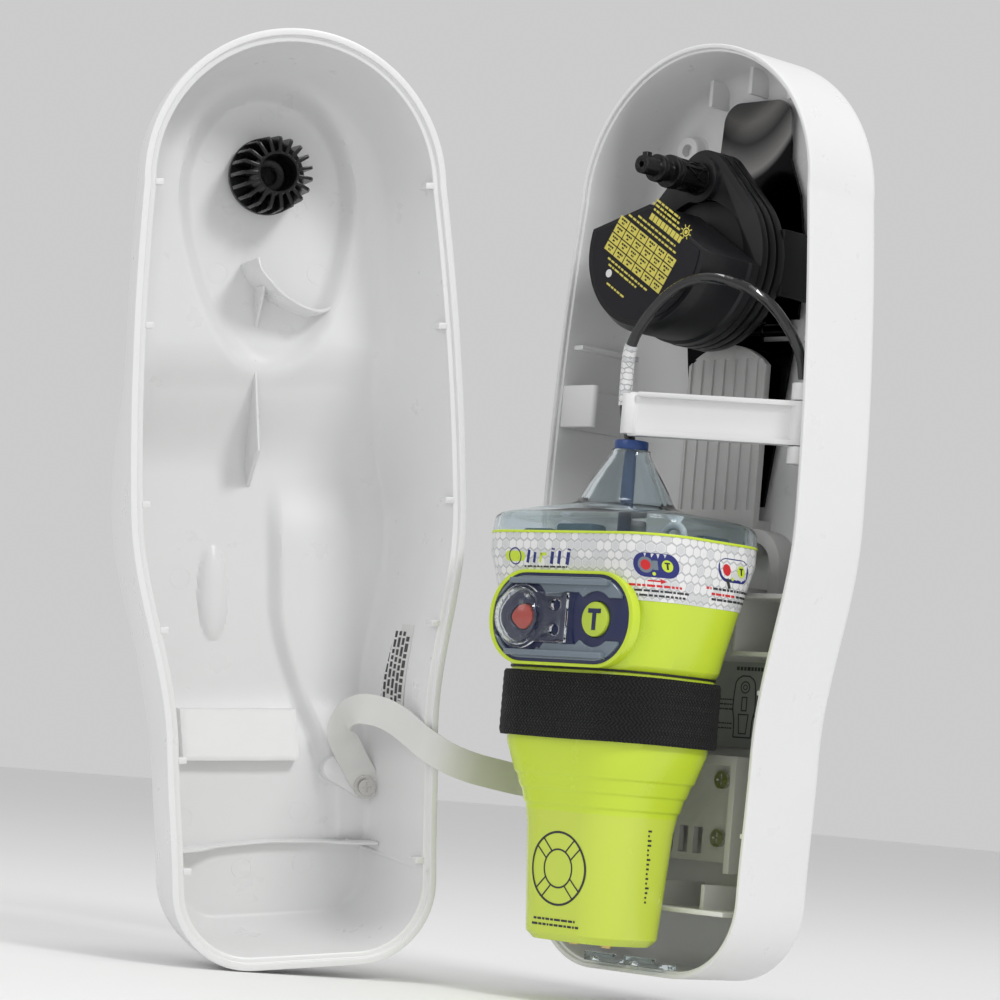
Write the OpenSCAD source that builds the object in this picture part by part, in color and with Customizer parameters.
// Emergency position beacon in its float-free housing, shown with the cover swung open.
// The bulkhead is the plane Y = 0, the housing opens towards -Y, X runs to the right and Z up.
// The origin is the centre of the four bulkhead bolts. Sizes are in millimetres.

/* [Housing outline] */
// Height of the housing
housing_h = 388; // [372:1:466]
// Half width of the housing at its widest, beside the beacon's head
shoulder_w = 71.75; // [69:0.25:86]
// Radius of the round top
top_r = 64.5; // [60:0.5:68]
// Half width at the waist, beside the beacon's lower case
waist_w = 58; // [54:0.5:66]
// Half width at the foot
foot_w = 56.5; // [52:0.5:64]
// Radius of the bottom corners
corner_r = 34; // [20:1:38]
// Wall of both shells
shell_t = 3; // [2:0.25:3.6]

/* [Base] */
// Bulkhead to the parting plane
base_d = 50; // [46:1:60]
// Stand-off of the bulkhead feet
foot_t = 5; // [4:0.5:8]
// Sideways spacing of the bulkhead bolts
bolt_dx = 76; // [60:1:80]
// Upright spacing of the bulkhead bolts
bolt_dz = 252; // [230:1:260]
// Radius of the bulkhead bolt holes
bolt_r = 2.75; // [2.2:0.05:3.3]
// Radius of the bulkhead feet
foot_r = 9; // [7:0.5:11]

/* [Cover] */
// Depth of the cover over the release unit
cover_top_d = 58; // [54:1:66]
// Depth of the cover over the beacon's head
cover_head_d = 78; // [74:1:94]
// Depth of the cover over the lower case
cover_low_d = 66; // [62:1:76]
// How far the front's rounded edge comes in at the top
cover_round_top = 24; // [16:1:26]
// How far the front's rounded edge comes in below
cover_round_low = 13; // [9:1:17]
// Gap between the two rims when shut
rim_gap = 0.4; // [0.3:0.1:1]
// Angle from shut to the open position shown
open_angle = 116.5; // [90:0.5:125]
// Radius of the knob stem
stem_r = 6; // [5:0.25:7]
// Radius of the outside knob
grip_r = 21; // [17:0.5:24]
// Radius of the finned crown
crown_r = 16.5; // [14:0.5:18]
// Number of fins on the crown
crown_fins = 19; // [15:1:23]

/* [Release unit] */
// Radius of the release unit's drum
drum_r = 36.5; // [31:0.5:38]
// Depth of the drum in front of its back case
drum_d = 31; // [26:1:33]
// Length of the release rod in front of the back case
rod_l = 38; // [34:1:41]
// Radius of the rod's barrel
rod_r = 6; // [5:0.25:7]
// Centre of the rod to the drum's centre
rod_up = 34; // [30:0.5:36]

/* [Beacon] */
// Half width of the head at the brim
head_w = 52.5; // [44:0.5:53]
// Half depth of the head at the brim
head_b = 35; // [31:0.5:35.5]
// Half width of the lower case at its foot
case_w = 25; // [21:0.5:27]
// Half depth of the lower case at its foot
case_b = 21.5; // [18:0.5:24]
// Wall of the beacon's case
case_t = 2.4; // [1.8:0.2:2.8]
// Radius of the antenna whip
whip_r = 2.2; // [1.8:0.1:2.6]
// Radius of the lens dome's foot
dome_r = 20; // [17:0.5:22]
// Radius of the on button
on_r = 5; // [4:0.25:6]
// Radius of the test button
test_r = 7; // [6:0.25:8]
// Thickness of the woven band
band_t = 3.2; // [2.5:0.1:4]

/* [Retainer] */
// Height of the retainer arm
arm_h = 18; // [15:0.5:20]
// Radius of the arm's pin
arm_pin_r = 2; // [1.5:0.1:2.5]
// Running clearance round pins and stems
run_gap = 0.08; // [0.05:0.01:0.1]
// Clearance between parts that only seat on each other
seat_gap = 0.3; // [0.2:0.05:0.4]

/* [Hidden] */
$fn = 48;

// heights above the housing's foot
waist_z = 92;
shoulder_z = 190;
top_z = housing_h - top_r;
origin_z = 226;                                   // centre of the bulkhead bolts
rod_z = housing_h - 57;
drum_z = rod_z - rod_up;
beacon_z = 12;
band_z = 93;
split_z = 121;
gasket_t = 0.8;
seam_z = 176;
brim_z = 183;
dome_z = 190;
collar_z = 213;
collar_top = 217;

// depths, all negative because the housing opens towards -Y
back_y = -foot_t;                                 // outside of the base's back wall
floor_y = back_y - shell_t;                       // inside of the base's back wall
part_y = -base_d;                                 // parting plane
beacon_y = part_y - 24;                           // centre of the beacon
flange_y = part_y + 20;                           // back of the release unit's back case
flange_t = 14;
drum_y = flange_y - flange_t;                     // where the drum starts
panel_y = beacon_y - 35;                          // face of the control panel
panel_x = 1.5;
leaf_y = floor_y - 3;
leaf_t = 1.4;

// ---------------------------------------------------------------- shared shapes

module row() translate([0, 0, -origin_z]) children();

// a shape drawn in X and Z, with its thickness from y0 towards -Y down to y1
module slab(y0, y1) rotate([90, 0, 0]) translate([0, 0, -y0]) linear_extrude(y0 - y1) children();

module rod_y(r, y0, y1, x = 0, z = 0) translate([x, y0, z]) rotate([90, 0, 0]) cylinder(r = r, h = y0 - y1);

module ring_y(r_out, r_in, y0, y1, x = 0, z = 0)
    difference() {
        rod_y(r_out, y0, y1, x, z);
        rod_y(r_in, y0 + 1, y1 - 1, x, z);
    }

module block(x0, x1, y0, y1, z0, z1) translate([x0, y1, z0]) cube([x1 - x0, y0 - y1, z1 - z0]);

module rounded(w, h, r) offset(r) square([w - 2 * r, h - 2 * r], center = true);

function arc(cx, cz, r, a0, a1, n) =
    [for (i = [0:n]) let (a = a0 + (a1 - a0) * i / n) [cx + r * cos(a), cz + r * sin(a)]];

// smooth step from 0 at a to 1 at b
function ease(x, a, b) = let (t = min(1, max(0, (x - a) / (b - a)))) t * t * (3 - 2 * t);

// half outline of both shells, from the middle of the foot up to the top
function half_outline() = concat(
    [[0, 0]],
    arc(foot_w - corner_r, corner_r, corner_r, -90, 0, 8),
    [for (i = [1:12]) let (z = corner_r + (shoulder_z - corner_r) * i / 13)
        [foot_w + (waist_w - foot_w) * ease(z, corner_r, waist_z)
            + (shoulder_w - waist_w) * (0.5 - 0.5 * cos(180 * max(0, (z - waist_z) / (shoulder_z - waist_z)))), z]],
    [for (i = [0:6]) let (t = i / 7)
        [shoulder_w + (top_r - shoulder_w) * t * t, shoulder_z + (top_z - shoulder_z) * t]],
    arc(0, top_z, top_r, 0, 90, 14));

function outline() = let (h = half_outline(), n = len(h))
    concat(h, [for (i = [n - 2:-1:1]) [-h[i][0], h[i][1]]]);

// an outline moved inwards by d along its own normals
function inset(points, d) = let (n = len(points))
    [for (i = [0:n - 1]) let (
        a = points[(i + n - 1) % n], b = points[(i + 1) % n],
        t = (b - a) / norm(b - a))
        points[i] + d * [-t[1], t[0]]];

function wall_x(z) =        // half width of the outline at height z
    z < waist_z ? foot_w + (waist_w - foot_w) * ease(z, corner_r, waist_z)
    : z < shoulder_z ? waist_w + (shoulder_w - waist_w) * (0.5 - 0.5 * cos(180 * (z - waist_z) / (shoulder_z - waist_z)))
    : z < top_z ? shoulder_w + (top_r - shoulder_w) * pow((z - shoulder_z) / (top_z - shoulder_z), 2)
    : sqrt(max(0, top_r * top_r - (z - top_z) * (z - top_z)));

// skin over a list of rings that have the same number of points.
// shape "tube" joins the last ring to the first, "cup" caps both ends, "ladder" caps rings that mirror in X.
module loft(rings, shape = "cup") {
    n = len(rings[0]);
    m = len(rings);
    last = shape == "tube" ? m - 1 : m - 2;
    sides = [for (k = [0:last]) for (i = [0:n - 1]) let (
        a = k * n, b = ((k + 1) % m) * n, j = (i + 1) % n)
        each [[a + i, b + i, b + j], [a + i, b + j, a + j]]];
    e = (m - 1) * n;
    caps = shape == "cup" ? [[for (i = [0:n - 1]) i], [for (i = [n - 1:-1:0]) e + i]]
        : shape == "ladder" ? concat(
            [[0, 1, n - 1]], [for (i = [1:n / 2 - 2]) [i, i + 1, n - i - 1, n - i]],
            [[n / 2 - 1, n / 2, n / 2 + 1]],
            [[e, e + n - 1, e + 1]], [for (i = [1:n / 2 - 2]) [e + i, e + n - i, e + n - i - 1, e + i + 1]],
            [[e + n / 2 - 1, e + n / 2 + 1, e + n / 2]])
        : [];
    polyhedron([for (r = rings) each r], concat(sides, caps), convexity = 6);
}

// rounded rectangle of half width a, half depth b and corner radius r
function rounded_rect(a, b, r) =
    [for (q = [0:3]) for (i = [0:7]) let (
        t = q * 90 + i * 90 / 7, sx = q == 0 || q == 3 ? 1 : -1, sy = q < 2 ? 1 : -1)
        [sx * (a - r) + r * cos(t), sy * (b - r) + r * sin(t)]];

// one section [z, a, b, r] of the beacon, grown by g
function section(s, g = 0) =
    [for (p = rounded_rect(s[1] + g, s[2] + g, max(0.5, s[3] + g))) [p[0], beacon_y + p[1], s[0]]];

// hollow or solid body through beacon sections, w is the wall and t the floor's thickness
module hollow_body(sections, w) {
    n = len(sections);
    loft(concat([for (s = sections) section(s)],
        [for (i = [n - 1:-1:0]) section(sections[i], -w)]), "tube");
}

module cup_body(sections, w, t) {
    n = len(sections);
    inner_foot = [sections[1][0] + t, sections[1][1], sections[1][2], sections[1][3]];
    loft(concat([for (s = sections) section(s)],
        [for (i = [n - 1:-1:2]) section(sections[i], -w)], [section(inner_foot, -w)]));
}

// smooth points through a hand-chosen route
function spline(p, q) = let (n = len(p))
    concat([for (i = [0:n - 2]) for (k = [0:q - 1]) let (
        t = k / q, a = p[max(0, i - 1)], b = p[i], c = p[i + 1], d = p[min(n - 1, i + 2)])
        0.5 * ((2 * b) + (c - a) * t + (2 * a - 5 * b + 4 * c - d) * t * t + (3 * b - a - 3 * c + d) * t * t * t)],
        [p[n - 1]]);

// rings of radius r along a route
function route_rings(p, r, sides, ref) = let (n = len(p))
    [for (i = [0:n - 1]) let (
        t = p[min(n - 1, i + 1)] - p[max(0, i - 1)],
        u = cross(ref, t) / norm(cross(ref, t)),
        v = cross(t, u) / norm(cross(t, u)))
        [for (k = [0:sides - 1]) p[i] + r * (cos(360 * k / sides) * u + sin(360 * k / sides) * v)]];

// wire coil of radius r round +Z
module coil(r, wire, turns, pitch) loft(route_rings(
    [for (i = [0:turns * 14]) [r * cos(i * 360 / 14), r * sin(i * 360 / 14), wire + i * pitch / 14]],
    wire, 6, [0, 0, 1]));

// ---------------------------------------------------------------- base

anchor_x = -43;
anchor_z = 74;
anchor_d = 5;
boss_r = 6;
boss_d = 6;
side_rib_t = 2;
module base_shell() color("whitesmoke") row() difference() {
    union() {
        difference() {
            slab(back_y, part_y) polygon(outline());
            slab(floor_y, part_y - 1) polygon(inset(outline(), shell_t));
        }
        at_bolts() rod_y(boss_r, back_y, floor_y - boss_d);
        rod_y(4.6, back_y - 1, floor_y - anchor_d, anchor_x, anchor_z);
        // webs that stiffen the round top
        for (s = [-1, 0, 1])
            block(s * 22 - side_rib_t / 2, s * 22 + side_rib_t / 2, floor_y + 1, floor_y - 10,
                  top_z + sqrt(pow(top_r, 2) - pow(22 * s, 2)) - shell_t - 10,
                  top_z + sqrt(pow(top_r, 2) - pow(22 * s, 2)) - shell_t + 1.2);
        // short ribs along both side walls
        for (s = [-1, 1], z = [60, 118, 262])
            block(min(s * (wall_x(z) - 1), s * (wall_x(z) - 8)), max(s * (wall_x(z) - 1), s * (wall_x(z) - 8)),
                  floor_y + 1, part_y + whip_r + 1.8, z - side_rib_t / 2, z + side_rib_t / 2);
    }
    at_bolts() rod_y(bolt_r, back_y + 1, floor_y - boss_d - 1);
    rod_y(tether_r, floor_y, floor_y - anchor_d - 1, anchor_x, anchor_z);
}

module at_bolts()
    for (x = [-1, 1], z = [-1, 1])
        translate([x * bolt_dx / 2, 0, origin_z + z * bolt_dz / 2]) children();

module mounting_feet() color("lightgray") row()
    at_bolts() ring_y(foot_r, bolt_r, 0, back_y);

guide_w = 43;
guide_z0 = 191;
guide_z1 = 265;
guide_y = leaf_y - 5;
guide_t = 3.4;
flute_n = 7;
module antenna_guide() color("gainsboro") row() {
    difference() {
        union() {
            slab(guide_y, guide_y - guide_t) union() {
                translate([-guide_w / 2, guide_z0]) square([guide_w, guide_z1 - 9 - guide_z0]);
                intersection() {
                    translate([-guide_w / 2, guide_z1 - 30]) square([guide_w, 30]);
                    translate([0, guide_z1 - 31]) circle(r = 31, $fn = 64);
                }
            }
            block(-guide_w / 2, guide_w / 2, floor_y, guide_y - guide_t, guide_z0 - 4, guide_z0);
            block(-guide_w / 2, guide_w / 2, floor_y, guide_y - guide_t + 1, guide_z0 - 14, guide_z0 - 4);
        }
        for (i = [0:flute_n - 1])
            block(guide_w * ((i + 0.5) / flute_n - 0.5) - 1.6, guide_w * ((i + 0.5) / flute_n - 0.5) + 1.6,
                  guide_y - guide_t + 1, guide_y - guide_t - 1, guide_z0 + 4, guide_z1 - 6);
    }
    // hook band that the whip is tucked under
    slab(floor_y, guide_y - guide_t) difference() {
        hook_outline(15);
        hook_outline(9.5);
        translate([guide_w / 2 - 20, guide_z0 - 34]) square([20, 60]);
    }
}

module hook_outline(r) {
    translate([guide_w / 2 + 1, guide_z0 - 19]) circle(r = r);
    translate([guide_w / 2 + 1, guide_z0 - 31]) square([r, 12]);
}

// retainer: arm pinned to a post on the right wall, block on the left wall
arm_z = collar_top + 1.5;
knuckle_r = 4.6;
post_gap = 0.5;
lug_h = 7;
arm_pivot_x = wall_x(arm_z + arm_h + post_gap + lug_h) - shell_t - knuckle_r - 0.54;
arm_pivot_y = part_y + 8;
arm_lean = 32;                                     // from the X axis, free end forward
arm_end_x = 2.6;                                   // the free end, just right of the whip
arm_l = (arm_pivot_x - arm_end_x) / cos(arm_lean);
arm_t = 4;
module at_arm() translate([arm_pivot_x, arm_pivot_y, 0]) rotate([0, 0, 180 + arm_lean]) children();
module retainer_arm() color("white") row() at_arm() difference() {
    union() {
        translate([0, 0, arm_z]) cylinder(r = knuckle_r, h = arm_h);
        translate([0, -arm_t / 2, arm_z]) cube([arm_l, arm_t, arm_h]);
        translate([arm_l, 0, arm_z + 0.8]) cylinder(r = 3.4, h = arm_h - 1.6);
        for (z = [arm_z, arm_z + arm_h - 2]) translate([0, -arm_t / 2, z]) cube([arm_l - 4, arm_t + 2.4, 2]);
    }
    translate([0, 0, arm_z - 1]) cylinder(r = arm_pin_r + run_gap, h = arm_h + 2);
}

channel_x = wall_x(arm_z - 56) - shell_t - 5.4;
module arm_post() color("whitesmoke") row() difference() {
    union() {
        for (z = [arm_z - post_gap - lug_h, arm_z + arm_h + post_gap]) {
            translate([arm_pivot_x, arm_pivot_y, z]) cylinder(r = knuckle_r, h = lug_h);
            block(arm_pivot_x - knuckle_r, arm_pivot_x + knuckle_r, floor_y, arm_pivot_y, z, z + lug_h);
        }
        // half-round channel that runs down the wall below the lower lug
        translate([channel_x, arm_pivot_y + 12, arm_z - 56]) cylinder(r = 5, h = 56 - post_gap - lug_h);
        block(channel_x - 2, channel_x + 2, floor_y, arm_pivot_y + 12, arm_z - 56, arm_z - post_gap - lug_h);
    }
    translate([arm_pivot_x, arm_pivot_y, arm_z - 20]) cylinder(r = arm_pin_r, h = arm_h + 40);
}

module arm_pin() color("silver") row() translate([arm_pivot_x, arm_pivot_y, arm_z - post_gap - 6.5])
    cylinder(r = arm_pin_r, h = arm_h + 2 * post_gap + 13);

block_z = 236;
module retainer_block() color("white") row() {
    block_x = wall_x(block_z + 9) - shell_t;
    block(-block_x, -block_x + 17, part_y + 6, part_y + 2, block_z - 9, block_z + 9);
    block(-block_x, -block_x + 3, floor_y, part_y + 6, block_z - 9, block_z + 9);
    translate([-block_x + 17, part_y + 4, block_z - 9]) cylinder(r = 2, h = 18);
}

bracket_z = 133;
bracket_h = 26;
bracket_d = 29;
module support_bracket() color("gainsboro") row() {
    x1 = wall_x(bracket_z) - shell_t;
    x0 = x1 - 30;
    difference() {
        block(x0, x1, floor_y, floor_y - bracket_d, bracket_z, bracket_z + bracket_h);
        block(x0 + 2, x1 - 2, floor_y - 2, floor_y - bracket_d - 1, bracket_z + 2, bracket_z + bracket_h - 2);
    }
    // sloping web under the box
    slab(floor_y, floor_y - 12) polygon([[x0, bracket_z], [x0 - 14, bracket_z + 4], [x0 - 14, bracket_z + 7], [x0, bracket_z + 12]]);
}

cradle_x = 34;
cradle_y = floor_y - 12;
cradle_t = 3;
cradle_screw_r = 2;
cradle_screws_at = [[20, 82], [-20, 82], [20, 58], [-20, 58]];
module lower_cradle() color("gainsboro") row() difference() {
    union() {
        slab(cradle_y, cradle_y - cradle_t) translate([-cradle_x, 48]) square([2 * cradle_x, 44]);
        block(-cradle_x, cradle_x, cradle_y, cradle_y - 12, 88, 92);
        for (s = [-1, 1]) block(min(s * cradle_x, s * (cradle_x - 3)), max(s * cradle_x, s * (cradle_x - 3)),
                                floor_y, cradle_y - 12, 44, 92);
        for (p = cradle_screws_at) rod_y(4.5, floor_y, cradle_y, p[0], p[1]);
    }
    for (p = cradle_screws_at) rod_y(cradle_screw_r, floor_y - 3, cradle_y - cradle_t - 1, p[0], p[1]);
    for (x = [-8, 0, 8]) block(x - 2.4, x + 2.4, cradle_y + 1, cradle_y - cradle_t - 1, 51, 62);
}

// cross-headed screw along +Z with its seat at the origin and the head above it
module pan_screw(r, head_r, head_h, depth) difference() {
    union() {
        translate([0, 0, -depth]) cylinder(r = r, h = depth + 0.1);
        cylinder(r = head_r, h = head_h);
    }
    for (a = [0, 90]) translate([0, 0, head_h]) rotate([0, 0, a]) cube([head_r * 1.3, 0.9, 1.6], center = true);
}

module cradle_screws() color("silver") row()
    for (p = cradle_screws_at) translate([p[0], cradle_y - cradle_t, p[1]]) rotate([90, 0, 0])
        pan_screw(cradle_screw_r, 3.6, 2, cradle_t + 8);

shelf_z = 27;
module bottom_shelf() color("white") row() {
    x1 = wall_x(shelf_z) - shell_t - 6;
    block(-x1, x1, floor_y, part_y + 1, shelf_z, shelf_z + 2);
    for (x = [-28, 0, 28]) block(x - 1, x + 1, floor_y, part_y + 10, shelf_z + 2, shelf_z + 12);
}

module hook_tabs() color("whitesmoke") row()
    for (x = [-11, 11]) {
        block(x - 8, x + 8, part_y + 8, part_y, shell_t, shell_t + 2.4);
        block(x - 8, x + 8, part_y + 1, part_y - 7, shell_t + 0.6, shell_t + 2.4);
        block(x - 8, x + 8, part_y - 4.6, part_y - 7, shell_t + 0.6, shell_t + 4.4);
    }

plate_z = 114;
module instruction_plate() color("lightgray") row()
    slab(floor_y, floor_y - 1) translate([14, plate_z]) rounded(32, 36, 4);

// ---------------------------------------------------------------- ejector

pivot_z = 272;
leaf_top = housing_h - 17;
leaf_pin_r = 1.4;
leaf_eye_r = 2.9;
leaf_hinge_y = leaf_y - leaf_t / 2 + 0.2;
bracket_leg_x = drum_r - 1;
bracket_leg_t = 2.5;
leaf_w = bracket_leg_x - bracket_leg_t - 1.5;        // half width between the bracket's legs
module ejector_leaf() color("dimgray") row() difference() {
    union() {
        slab(leaf_y, leaf_y - leaf_t) union() {
            polygon([[0.5 - leaf_w, pivot_z + 4], [leaf_w - 0.5, pivot_z + 4], [leaf_w, rod_z - 27], [leaf_w - 4.5, rod_z - 2],
                     [20, rod_z + 14], [19, leaf_top - 9], [-19, leaf_top - 9], [-20, rod_z + 14],
                     [4.5 - leaf_w, rod_z - 2], [-leaf_w, rod_z - 27]]);
            translate([-10, leaf_top - 18]) square([20, 18]);
            for (s = [-1, 1]) translate([s * 10, leaf_top - 9]) circle(r = 9);
        }
        for (s = [-1, 1]) translate([s * 20 - 6, leaf_hinge_y, pivot_z]) rotate([0, 90, 0]) cylinder(r = leaf_eye_r, h = 12);
        for (s = [-1, 1]) block(s * 20 - 6, s * 20 + 6, leaf_y, leaf_y - leaf_t, pivot_z + 1.8, pivot_z + 5);
    }
    translate([-40, leaf_hinge_y, pivot_z]) rotate([0, 90, 0]) cylinder(r = leaf_pin_r + run_gap, h = 80);
}

module leaf_foot() color("dimgray") row() difference() {
    union() {
        slab(leaf_y, leaf_y - leaf_t) polygon([[-20, 197], [20, 197], [30, pivot_z - 5], [-30, pivot_z - 5]]);
        translate([-12, leaf_hinge_y, pivot_z]) rotate([0, 90, 0]) cylinder(r = leaf_eye_r, h = 24);
        block(-12, 12, leaf_y, leaf_y - leaf_t, pivot_z - 6, pivot_z - 1.8);
        for (z = [206, 250]) rod_y(5, floor_y, leaf_y, 0, z);
    }
    translate([-40, leaf_hinge_y, pivot_z]) rotate([0, 90, 0]) cylinder(r = leaf_pin_r, h = 80);
}

module leaf_pin() color("silver") row() translate([-28, leaf_hinge_y, pivot_z]) rotate([0, 90, 0])
    cylinder(r = leaf_pin_r, h = 56);

module leaf_spring() color("silver") row() translate([0, floor_y, rod_z - 12]) rotate([90, 0, 0])
    coil(5, 0.4, 2, 1);

// ---------------------------------------------------------------- release unit

// teardrop: the big round of the drum, the small round of the rod's hub and their common tangents
hub_r = 13;
function teardrop(r1, r2, d) = let (a = asin((r1 - r2) / d))
    concat(arc(0, d, r2, a, 180 - a, 10), arc(0, 0, r1, 180 - a, 360 + a, 40));

module teardrop_slab(y0, y1, g) slab(y0, y1) translate([0, drum_z]) polygon(teardrop(drum_r + g, hub_r + g, rod_up));

module hru_bracket() color("black") row() {
    teardrop_slab(flange_y + 3, flange_y, -6);
    for (s = [-1, 1])
        block(min(s * (bracket_leg_x - bracket_leg_t), s * bracket_leg_x), max(s * (bracket_leg_x - bracket_leg_t), s * bracket_leg_x),
              floor_y, flange_y + 3, drum_z - 14, drum_z + 14);
    slab(flange_y + 3, flange_y) translate([0, drum_z]) square([2 * bracket_leg_x, 28], center = true);
}

chamber_r = drum_r - 10.5;
module hru_case_back() color("black") row() difference() {
    union() {
        teardrop_slab(flange_y, flange_y - 4, 0);
        teardrop_slab(flange_y - 4, flange_y - 5.5, -1.6);
        teardrop_slab(flange_y - 5.5, flange_y - 9, 0);
        teardrop_slab(flange_y - 9, flange_y - 10.5, -1.6);
        teardrop_slab(flange_y - 10.5, drum_y, 0);
        ring_y(hub_r - 3, rod_r, drum_y, drum_y - 3, 0, rod_z);
    }
    rod_y(chamber_r, flange_y - 3, drum_y - 1, 0, drum_z);
    rod_y(rod_r, flange_y - 6, drum_y - 4, 0, rod_z);
    for (p = hru_screws_at) rod_y(1.5, flange_y - 3, drum_y - 1, p[0], p[1]);
}

cut_a = 16;
cut_b = 32;
cut_gap = 2.5;
// everything above the two flats that meet under the rod's hub
module drum_trim() slab(drum_y + 1, drum_y - drum_d - 1) translate([0, rod_z - hub_r - cut_gap])
    polygon([[0, 0], [-90, -90 * tan(cut_a)], [-90, 90], [90, 90], [90, -90 * tan(cut_b)]]);

blade_r = (rod_up - hub_r - cut_gap) * cos(cut_b) - 3;      // chamber that the blade runs in
module hru_case_front() color("black") row() difference() {
    translate([0, drum_y, drum_z]) rotate([90, 0, 0]) rotate_extrude($fn = 72)
        polygon([[0, 0], [drum_r - 0.4, 0], [drum_r - 0.4, 5], [drum_r - 1.6, 6], [drum_r - 1.6, drum_d - 5],
                 [drum_r - 4, drum_d], [0, drum_d]]);
    drum_trim();
    rod_y(blade_r, drum_y + 1, drum_y - drum_d + 3, 0, drum_z);
    for (p = hru_screws_at) rod_y(1.5, drum_y + 1, drum_y - 8, p[0], p[1]);
}

module hru_label() color("khaki") row() difference() {
    rod_y(drum_r - 6.5, drum_y - drum_d, drum_y - drum_d - 0.4, 0, drum_z);
    translate([0, 0, -2]) drum_trim();
}

module hru_rod() color("black") row() {
    y0 = drum_y;
    rod_y(rod_r, flange_y - 6, y0 - rod_l * 0.5, 0, rod_z);
    rod_y(rod_r + 1, y0 - rod_l * 0.5, y0 - rod_l * 0.58, 0, rod_z);
    rod_y(rod_r - 1.6, y0 - rod_l * 0.58, y0 - rod_l * 0.7, 0, rod_z);
    rod_y(rod_r - 0.2, y0 - rod_l * 0.7, y0 - rod_l * 0.78, 0, rod_z);
    difference() {
        rod_y(rod_r - 2.2, y0 - rod_l * 0.78, y0 - rod_l, 0, rod_z);
        rod_y(1.3, y0 - rod_l + 4, y0 - rod_l - 1, 0, rod_z);
    }
    block(-1.4, 1.4, y0 - rod_l * 0.88, y0 - rod_l * 0.96, rod_z + rod_r - 3, rod_z + rod_r - 0.4);
}

module hru_diaphragm() color("dimgray") row()
    rod_y(chamber_r - seat_gap, flange_y - 8, flange_y - 10, 0, drum_z);

module hru_spring() color("silver") row() translate([0, drum_y - 18, drum_z]) rotate([90, 0, 0])
    coil(8, 0.7, 3, 2.4);

module hru_blade() color("silver") row() {
    rod_y(5, drum_y - 4.5, drum_y - 14, 0, drum_z);
    block(-3, 3, drum_y - 6, drum_y - 8, drum_z + 3, drum_z + blade_r - 1.5);
}

hru_screws_at = [for (a = [200, 270, 340]) [(drum_r - 3.6) * cos(a), drum_z + (drum_r - 3.6) * sin(a)]];
module hru_screws() color("silver") row()
    for (p = hru_screws_at) rod_y(1.5, flange_y - 4, drum_y - 7, p[0], p[1]);

// ---------------------------------------------------------------- cover

// the cover is drawn shut and swung open about the hinge line
hinge_p = [-shoulder_w - 13.5, part_y - 25.4, 194];
hinge_v = [-0.0436, -0.063, 1];
module swung() row() translate(hinge_p) rotate(a = -open_angle, v = hinge_v) translate(-hinge_p) children();

function cover_depth(z) =
    cover_top_d + (cover_head_d - cover_top_d) * (1 - ease(z, 205, 252))
        - (cover_head_d - cover_low_d) * (1 - ease(z, 74, 116));
function cover_round(z) = cover_round_low + (cover_round_top - cover_round_low) * ease(z, 190, 262);

function cover_ring(a, w) =      // a is the angle round the rounded edge, w the wall left off
    let (o = outline(), flat = inset(o, w))
    [for (i = [0:len(o) - 1]) let (
        n = (flat[i] - o[i]) / max(norm(flat[i] - o[i]), 0.001),
        q = w > 0 ? flat[i] : o[i],
        m = inset_dir(o, i),
        p = q + m * cover_round(o[i][1]) * (1 - cos(a)))
        [p[0], part_y - rim_gap - (cover_depth(p[1]) - w) * sin(a), p[1]]];

function inset_dir(o, i) = let (n = len(o), t = o[(i + 1) % n] - o[(i + n - 1) % n]) [-t[1], t[0]] / norm(t);

function cover_floor(z) = part_y - rim_gap - cover_depth(z) + shell_t;

module cover_solid() loft(concat(
    [for (a = [90, 72, 54, 36, 18, 0]) cover_ring(a, shell_t)],
    [for (a = [0, 18, 36, 54, 72, 90]) cover_ring(a, 0)]), "ladder");

knob_y = cover_floor(rod_z);
module cover_shell() color("white") swung() difference() {
    union() {
        cover_solid();
        rod_y(stem_r + 6, knob_y + 2, knob_y - 1, 0, rod_z);
        rod_y(4.6, strap_y, cover_floor(strap_z) - 1, strap_x, strap_z);
        // shelf under the foot of the beacon
        block(-34, 34, cover_floor(45) + shelf_d, cover_floor(45) - 1, 44, 46);
        cover_fin();
        cover_hook();
    }
    rod_y(stem_r + run_gap, knob_y + 4, knob_y - shell_t - 4, 0, rod_z);
    rod_y(tether_r, strap_y + 1, strap_y - 8, strap_x, strap_z);
}

// upright fin beside the centre line, level with the floor round the knob, then sloping back
shelf_d = 10;
fin_level = 1;
fin_slope = 1.25;
fin_z = [for (i = [0:10]) 200 + i * 52 / 10];
module cover_fin() translate([3, 0, 0]) rotate([90, 0, 90]) linear_extrude(2)
    polygon(concat([for (z = fin_z) [cover_floor(z) - 1, z]],
        [for (i = [10:-1:0]) let (z = fin_z[i])
            [min(cover_floor(fin_z[10]) + fin_level, cover_floor(z) + 0.4 + fin_slope * (z - fin_z[0])), z]]));

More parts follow.
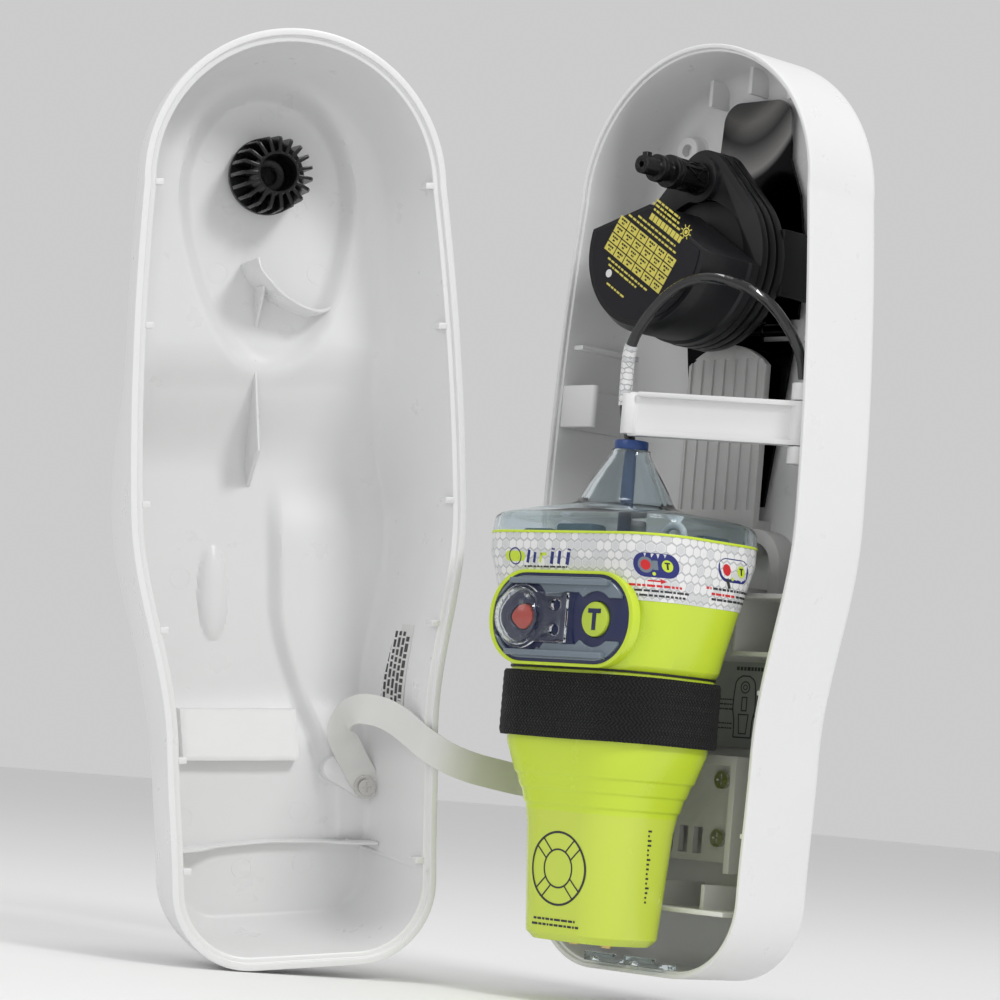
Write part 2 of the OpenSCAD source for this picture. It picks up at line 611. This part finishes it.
// curved wall that keeps the whip off the release unit when shut: [x, z, height], and the strut under it
hook_t = 1.6;
hook_line = [[9.4, 295, 16], [8.2, 289, 22], [3.4, 283.6, 24], [-1.6, 279.4, 24], [-10.6, 274.6, 20],
    [-19.4, 272.2, 12], [-28.8, 274.6, 3]];
module cover_hook() {
    n = len(hook_line);
    loft([for (i = [0:n - 1]) let (
        p = hook_line[i], q = hook_line[min(n - 1, i + 1)] - hook_line[max(0, i - 1)],
        s = [-q[1], q[0]] / norm([q[0], q[1]]) * hook_t / 2, y0 = cover_floor(p[1]) - 1, y1 = cover_floor(p[1]) + p[2])
        [[p[0] - s[0], y0, p[1] - s[1]], [p[0] - s[0], y1, p[1] - s[1]],
         [p[0] + s[0], y1, p[1] + s[1]], [p[0] + s[0], y0, p[1] + s[1]]]]);
    translate([3.2, 0, 0]) rotate([90, 0, 90]) linear_extrude(1.4)
        polygon([[cover_floor(268) - 1, 268], [cover_floor(268) - 1, 283], [cover_floor(283) + 14, 283]]);
}

// glued pad, its back follows the slope of the cover's floor
pad_z = [82, 87, 92, 97, 102, 104];
pad_t = 8;
glue_t = 0.35;
module foam_pad() color("white") swung() translate([-14, 0, 0]) rotate([90, 0, 90]) linear_extrude(52)
    polygon(concat([for (z = pad_z) [cover_floor(z) + glue_t, z]],
        [for (i = [len(pad_z) - 1:-1:0]) [cover_floor(pad_z[i]) + pad_t, pad_z[i]]]));

module caution_label() color("white") swung()
    block(-44, -24, cover_floor(130) + 0.5, cover_floor(130) + 0.1, 124, 146);

tether_r = 2;
washer_r = 5;
strap_z = 69;
strap_x = shell_t + 13.28 - wall_x(strap_z);
strap_y = cover_floor(strap_z) + 8;
module tether_washer() color("silver") swung()
    ring_y(washer_r, tether_r, strap_y + strap_t + 0.8, strap_y + strap_t, strap_x, strap_z);
module tether_screw() color("silver") swung() translate([strap_x, strap_y + strap_t + 0.8, strap_z]) rotate([-90, 0, 0])
    pan_screw(tether_r, 3.4, 2, 9);

// end of the strap, clamped under the washer
tab_dir = [0.43, 0.9];
tab_l = 9;
module strap_tab() color("white") swung() slab(strap_y + strap_t, strap_y) difference() {
    translate([strap_x, strap_z]) rotate(atan2(tab_dir[1], tab_dir[0]))
        polygon(concat([[tab_l, strap_w / 2]], arc(0, 0, strap_w / 2, 90, 270, 16), [[tab_l, -strap_w / 2]]));
    translate([strap_x, strap_z]) circle(r = tether_r);
}

// knob: crown inside, grip outside, held by a ring
crown_l = 25;
module crown_fin() block(-0.8, 0.8, knob_y + crown_l, knob_y + 3.6, 8.6, crown_r);
module knob_crown() color("black") swung() {
    ring_y(crown_r, stem_r - 2, knob_y + 5, knob_y + 2.3, 0, rod_z);
    ring_y(9.4, 7.6, knob_y + crown_l, knob_y + 5, 0, rod_z);
    translate([0, 0, rod_z]) for (i = [0:crown_fins - 1]) rotate([0, 360 * i / crown_fins, 0]) crown_fin();
    ring_y(stem_r, stem_r - 2, knob_y + 3, knob_y - shell_t - 5, 0, rod_z);
}

module knob_grip() color("white") swung() difference() {
    union() {
        rod_y(grip_r, knob_y - shell_t - 1, knob_y - shell_t - 9, 0, rod_z);
        block(-grip_r - 4, grip_r + 4, knob_y - shell_t - 2, knob_y - shell_t - 13, rod_z - 4, rod_z + 4);
    }
    rod_y(stem_r, knob_y - shell_t, knob_y - shell_t - 6, 0, rod_z);
}

module knob_ring() color("dimgray") swung()
    ring_y(stem_r - 2, stem_r - 3.2, knob_y + 1, knob_y - shell_t - 3, 0, rod_z);

// tether strap: route and the direction of its width, from the cover's screw to the base
strap_w = 13;
strap_t = 1.2;
strap_route = [[-131.8, -89.4, 74.5], [-132.8, -94, 81], [-132, -99.5, 88], [-127, -103.5, 95], [-118, -104, 99],
    [-107, -102, 98.5], [-96, -102, 95.5], [-86, -103, 91.5], [-77, -103, 87], [-69, -98, 82], [-64, -88, 78.5],
    [-61, -76, 76.5], [-58, -65, 75], [-54, -56, 74.2], [-52, -46, 74], [-51.6, -34, 74], [-51.3, -22, 74],
    [-50.2, -16.2, 74], [-47.6, -13.9, 74], [-45, -13.6, 74], [-42, -13.6, 74], [-38, -13.6, 74]];
strap_width = [[-0.40, -0.74, -0.53], [-0.45, -0.7, -0.4], [-0.5, -0.55, 0.1], [-0.3, -0.1, 0.8], [0.1, 0.15, 0.95],
    [0.2, 0.2, 0.95], [0.2, 0.2, 0.95], [0.2, 0.15, 0.95], [0.2, 0.1, 0.97], [0.15, 0.1, 0.98], [0.1, 0.1, 1],
    [0.05, 0.1, 1], [0, 0.05, 1], [0, 0, 1], [0, 0, 1], [0, 0, 1], [0, 0, 1], [0, 0, 1], [0, 0, 1], [0, 0, 1],
    [0, 0, 1], [0, 0, 1]];
module tether_strap() color("white") row() difference() {
    strap_band();
    rod_y(tether_r, floor_y, floor_y - anchor_d - 9, anchor_x, anchor_z);
}

module strap_band() {
    p = spline(strap_route, 3);
    w = spline(strap_width, 3);
    n = len(p);
    loft([for (i = [0:n - 1]) let (
        t = p[min(n - 1, i + 1)] - p[max(0, i - 1)],
        u = w[i] / norm(w[i]) * strap_w / 2,
        v = cross(t, u) / norm(cross(t, u)) * strap_t / 2)
        [p[i] - u - v, p[i] + u - v, p[i] + u + v, p[i] - u + v]]);
}

module tether_anchor_screw() color("silver") row() translate([anchor_x, floor_y - anchor_d - strap_t, anchor_z])
    rotate([90, 0, 0]) pan_screw(tether_r, 3.6, 2, anchor_d);

// ---------------------------------------------------------------- beacon

neck_w = 40;
neck_b = 31;
lower_sections = [
    [beacon_z, case_w - 3, case_b - 3, 12.5], [beacon_z + 3, case_w, case_b, 15],
    [58, case_w + 3, case_b + 2.5, 17], [66, case_w + 4.2, case_b + 3.4, 17.5], [66.8, case_w + 5, case_b + 4.1, 18],
    [72, case_w + 6.2, case_b + 5, 18.5], [72.8, case_w + 7, case_b + 5.7, 19], [78, case_w + 8.8, case_b + 6.6, 19.5],
    [78.8, case_w + 9.6, case_b + 7.2, 19.5], [85, neck_w - 3, neck_b - 1.4, 20], [91, neck_w - 0.6, neck_b - 0.3, 21],
    [split_z, neck_w, neck_b, 21]];
upper_sections = [
    [split_z + gasket_t, neck_w, neck_b, 21], [split_z + 3, neck_w + 1.6, neck_b + 0.4, 21],
    [132, 44, neck_b + 0.6, 21.5], [144, 47.4, neck_b + 0.8, 21], [154, 50, neck_b + 1.4, 20.5],
    [162, head_w - 1, head_b - 1.2, 20.5], [168, head_w, head_b, 20], [seam_z, head_w, head_b, 20]];

module lower_case() color("greenyellow") row() cup_body(lower_sections, case_t, case_t);

// the raised rim round the control panel is part of the case
pocket_d = 2;
module upper_case() color("greenyellow") row() difference() {
    union() {
        hollow_body(upper_sections, case_t);
        slab(panel_y + 4.1, panel_y - 0.3) translate([panel_x, button_z]) rounded(panel_w + 4, panel_h + 2.4, 18.8);
    }
    slab(panel_y + pocket_d, panel_y - 2) translate([panel_x, button_z]) rounded(panel_w, panel_h, 17.5);
    for (b = [[on_r, on_x], [test_r, test_x]]) rod_y(b[0] + 0.6, panel_y + 12, panel_y - 1, b[1], button_z);
}

module case_gasket() color("black") row()
    hollow_body([[split_z, neck_w + 0.4, neck_b + 0.4, 21.4], [split_z + gasket_t, neck_w + 0.4, neck_b + 0.4, 21.4]], 4);

module lens_cap() color("lightcyan", 0.4) row() {
    outer = [[seam_z, head_w, head_b, 20], [brim_z - 2, head_w, head_b, 20], [brim_z, head_w - 2, head_b - 2, 19],
        [brim_z + 3, head_w - 12, head_b - 6, 20], [dome_z - 2, dome_r + 4, dome_r + 3, dome_r], [dome_z, dome_r, dome_r, dome_r],
        [dome_z + 8, dome_r * 0.8, dome_r * 0.8, dome_r * 0.8], [collar_z - 4, 9, 9, 9], [collar_z, 8, 8, 8]];
    hollow_body(outer, 2);
}

module antenna_rod() color("steelblue") row() translate([0, beacon_y, seam_z - 4]) cylinder(r = 2.6, h = collar_z - seam_z + 3.5);
module antenna_collar() color("steelblue") row() translate([0, beacon_y, collar_z]) difference() {
    cylinder(r = 7, h = collar_top - collar_z);
    translate([0, 0, 2]) cylinder(r = whip_r, h = collar_top - collar_z);
}

// the whip leaves the collar upright, passes over the release unit and is tucked into the right wall
whip_x = wall_x(250) - shell_t - whip_r - 3;
whip_route = [[0, -74, 215], [-3, -76, 228], [-3, -77, 242], [1, -80, 256], [11, -81, 269], [24, -80, 279],
    [36, -76, 283], [47, -68, 281], [55, -59, 275], [60, -51, 265], [whip_x, -45, 255], [whip_x, -42, 246]];
module antenna_whip() color("black") row() loft(route_rings(spline(whip_route, 4), whip_r, 12, [0, 1, 0]));

module antenna_sleeve() color("white") row() {
    s = spline(whip_route, 4);
    p = [for (i = [5:12]) s[i]];
    n = len(p);
    inner = route_rings(p, whip_r + 0.04, 12, [0, 1, 0]);
    loft(concat(route_rings(p, whip_r + 0.6, 12, [0, 1, 0]), [for (i = [n - 1:-1:0]) inner[i]]), "tube");
}

label_t = 0.4;
module head_label() color("white") row()
    hollow_body([for (s = [[163, head_w - 0.85, head_b - 0.7, 20.4], [168, head_w, head_b, 20], [seam_z - 0.4, head_w, head_b, 20]])
        [s[0], s[1] + label_t, s[2] + label_t, s[3] + label_t]], label_t - 0.02);

button_z = 141;
button_x = 20;
on_x = panel_x - button_x;
test_x = panel_x + button_x;
panel_w = 76;
panel_h = 36;
key_top = 1.2;
pilot_at = [panel_x - 7, button_z - 11.5];
module control_panel() color("midnightblue") row() difference() {
    slab(panel_y + pocket_d, panel_y) translate([panel_x, button_z]) rounded(panel_w, panel_h, 17.5);
    for (b = [[on_r, on_x], [test_r, test_x]]) rod_y(b[0] + seat_gap, panel_y + 3, panel_y - 2, b[1], button_z);
    rod_y(1.2, panel_y + 3, panel_y - 2, pilot_at[0], pilot_at[1]);
}

module on_button() color("red") row() rod_y(on_r, panel_y + pocket_d, panel_y - key_top, on_x, button_z);
module test_button() color("greenyellow") row() rod_y(test_r, panel_y + pocket_d, panel_y - key_top, test_x, button_z);
module test_mark() color("midnightblue") row() {
    block(test_x - 3.4, test_x + 3.4, panel_y - key_top, panel_y - key_top - 0.2, button_z + 2.4, button_z + 4.2);
    block(test_x - 1, test_x + 1, panel_y - key_top, panel_y - key_top - 0.2, button_z - 4.4, button_z + 2.4);
}
module panel_screw() color("silver") row() rod_y(1.2, panel_y + pocket_d, panel_y - 0.3, pilot_at[0], pilot_at[1]);

guard_t = 1.4;
guard_r = 13;
guard_y = panel_y - key_top - 0.6;
dome_out = [[0, 0], [12, 0], [11.6, 3], [9.6, 6], [6, 7.6], [0, 8.2]];
dome_in = [[0, 0], [10.6, 0], [10.4, 3.6], [8.8, 5.8], [5.6, 7.2], [0, 7.8]];
module slider_guard() color("lightcyan", 0.4) row() translate([on_x, guard_y, button_z]) rotate([90, 0, 0]) difference() {
    union() {
        linear_extrude(guard_t) union() {
            circle(r = guard_r);
            translate([0, -guard_r + 3]) square([2 * guard_r, 2 * guard_r - 6]);
        }
        rotate_extrude() polygon(dome_out);
    }
    translate([0, 0, -1]) rotate_extrude() polygon(dome_in);
    for (z = [-5, 5]) translate([button_x, z, -1]) cylinder(r = 2.4, h = guard_t + 2);
}

module slider_rails() color("slategray") row() for (s = [-1, 1])
    slab(panel_y, guard_y - guard_t - 0.4) translate([panel_x, button_z + s * (guard_r + seat_gap + 1.2)])
        square([54, 2.4], center = true);

module lanyard_band() color("black") row()
    hollow_body([for (z = [band_z, split_z - 1]) [z, neck_w + band_t + seat_gap, neck_b + band_t + seat_gap, 21 + band_t]], band_t);

module battery_pack() color("orange") row() for (s = [-1, 1])
    translate([s * 11, beacon_y, 20]) cylinder(r = 9.5, h = 64);
module circuit_board() color("darkgreen") row() block(-34, 34, beacon_y + 1, beacon_y - 1, 126, 170);
module strobe_lights() color("white") row() for (s = [-1, 1])
    translate([s * 30, beacon_y, 172]) cylinder(r = 3, h = 6);
module reflector() color("silver") row() translate([0, 0, 170.2]) difference() {
    translate([-38, beacon_y - 22, 0]) cube([76, 44, 1.6]);
    translate([0, beacon_y, -1]) cylinder(r = 2.7, h = 4);
    for (s = [-1, 1]) translate([s * 30, beacon_y, -1]) cylinder(r = 3.2, h = 4);
}
module sea_contacts() color("gold") row() for (s = [-1, 1])
    translate([s * 9, beacon_y, beacon_z - 1.5]) cylinder(r = 2.2, h = 1.5);

// ---------------------------------------------------------------- nodes

base_shell();
mounting_feet();
antenna_guide();
retainer_block();
retainer_arm();
arm_post();
arm_pin();
support_bracket();
lower_cradle();
cradle_screws();
bottom_shelf();
hook_tabs();
instruction_plate();
ejector_leaf();
leaf_foot();
leaf_pin();
leaf_spring();
hru_bracket();
hru_case_back();
hru_case_front();
hru_label();
hru_rod();
hru_diaphragm();
hru_spring();
hru_blade();
hru_screws();
cover_shell();
foam_pad();
caution_label();
tether_screw();
tether_washer();
tether_strap();
strap_tab();
tether_anchor_screw();
knob_crown();
knob_grip();
knob_ring();
lower_case();
upper_case();
case_gasket();
lens_cap();
antenna_rod();
antenna_collar();
antenna_whip();
antenna_sleeve();
head_label();
control_panel();
slider_rails();
slider_guard();
on_button();
test_button();
test_mark();
panel_screw();
lanyard_band();
battery_pack();
circuit_board();
strobe_lights();
reflector();
sea_contacts();
